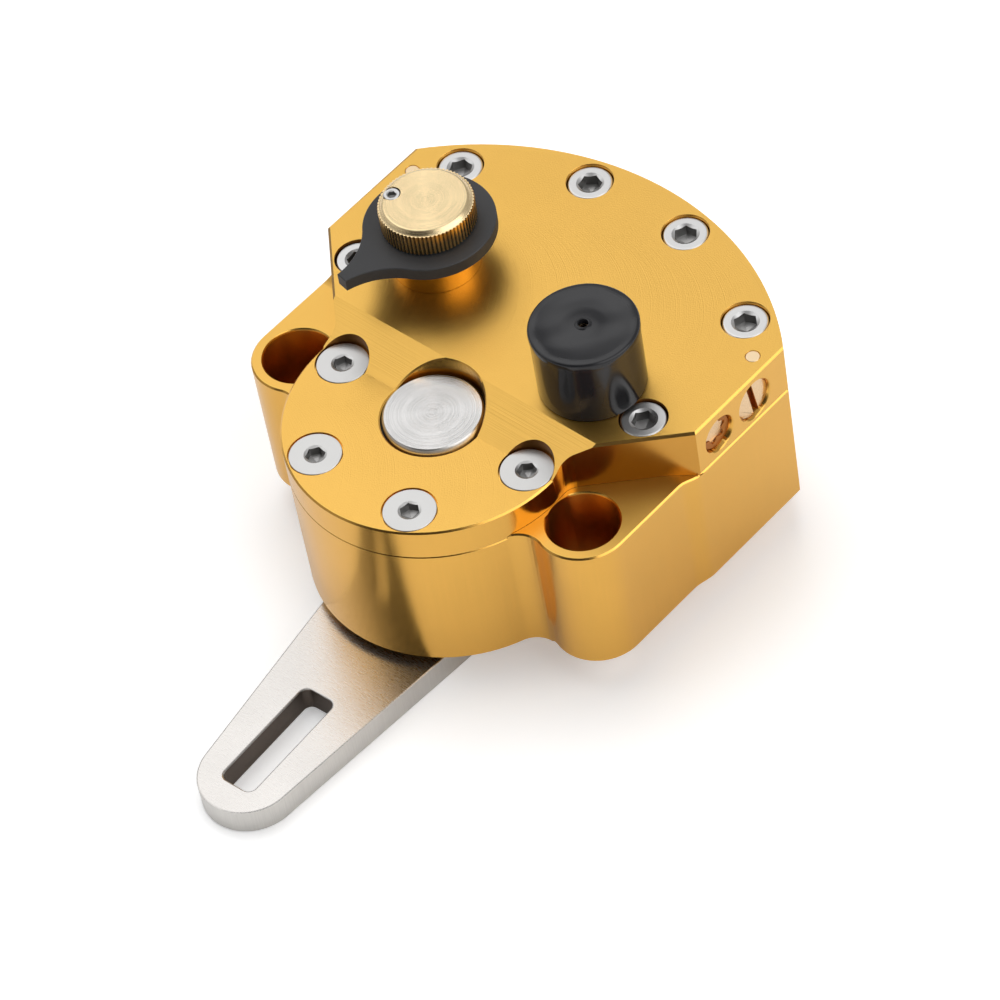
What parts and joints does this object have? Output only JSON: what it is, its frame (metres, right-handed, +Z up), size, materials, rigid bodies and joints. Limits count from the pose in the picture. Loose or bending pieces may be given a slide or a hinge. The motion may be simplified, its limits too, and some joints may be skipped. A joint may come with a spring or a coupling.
{
  "type": "motorcycle steering damper",
  "caption": "Rotary vane steering damper with a gold fan-shaped housing, click adjuster, capped compensator and a slotted link arm under the shaft.",
  "frame": {"origin": "on the shaft axis, at the underside of the housing that sits on the mount, midway between the two ear bolt holes", "axes": "+Z up along the shaft toward the adjuster side, +Y from the shaft toward the fan-shaped front, +X toward the ear beside the passage plugs"},
  "size_m": [0.0892, 0.1359, 0.063],
  "materials": {
    "gold_body": "gold anodised, polished sides",
    "gold_lid": "gold anodised, fine satin top",
    "gold_stem": "gold anodised, turned",
    "stainless": "brushed stainless",
    "steel": "ground steel",
    "bronze": "plain bronze",
    "brass": "turned brass",
    "light_alloy": "machined",
    "black_alloy": "matte black",
    "black_vinyl": "glossy soft vinyl",
    "seal_rubber": "smooth nitrile rubber",
    "filled_plastic": "bronze filled PTFE"
  },
  "bodies": {
    "housing": {"body": "gold_body", "lid": "gold_lid", "lid_seal": "seal_rubber", "lower_bush": "bronze", "upper_bush": "bronze", "lower_seal": "seal_rubber", "upper_seal": "seal_rubber", "rim_screws": "stainless", "lobe_screws": "stainless", "blank_pins": "brass", "adjuster_stem": "gold_stem", "stop_pin": "steel", "comp_sleeve": "brass", "comp_spring": "steel", "comp_end": "brass", "comp_cover": "black_vinyl", "hex_plug": "brass", "slot_plug": "brass", "relief_spring": "steel"},
    "rotor": {"shaft": "stainless", "vane": "light_alloy", "vane_key": "steel", "vane_strip": "filled_plastic", "dust_ring": "seal_rubber", "link_arm": "stainless", "arm_screw": "stainless"},
    "dial": {"valve_spool": "steel", "spool_ring": "seal_rubber", "pointer": "black_alloy", "knob": "brass", "detent_ball": "steel", "detent_spring": "steel", "detent_screw": "stainless"},
    "compensator_piston": {"comp_piston": "light_alloy", "piston_ring": "seal_rubber"},
    "relief_valve": {"relief_ball": "steel"}
  },
  "joints": [
    {"name": "arm_swing", "type": "hinge", "parent": "housing", "child": "rotor", "pos_m": [0, 0, 0], "axis": [0, 0, 1], "range_deg": [-44.5, 38.1]},
    {"name": "adjuster_turn", "type": "hinge", "parent": "housing", "child": "dial", "pos_m": [-0.0219, 0.0264, 0.05], "axis": [0, 0, 1], "range_deg": [-134, 134]},
    {"name": "compensator_slide", "type": "slide", "parent": "housing", "child": "compensator_piston", "axis": [0, 0, 1], "range_m": [-0.0009, 0.002], "stiffness_N_per_m": 800, "deforming": ["comp_spring"]},
    {"name": "relief_lift", "type": "slide", "parent": "housing", "child": "relief_valve", "axis": [1, 0, 0], "range_m": [0, 0.0015], "stiffness_N_per_m": 500, "deforming": ["relief_spring"]}
  ]
}
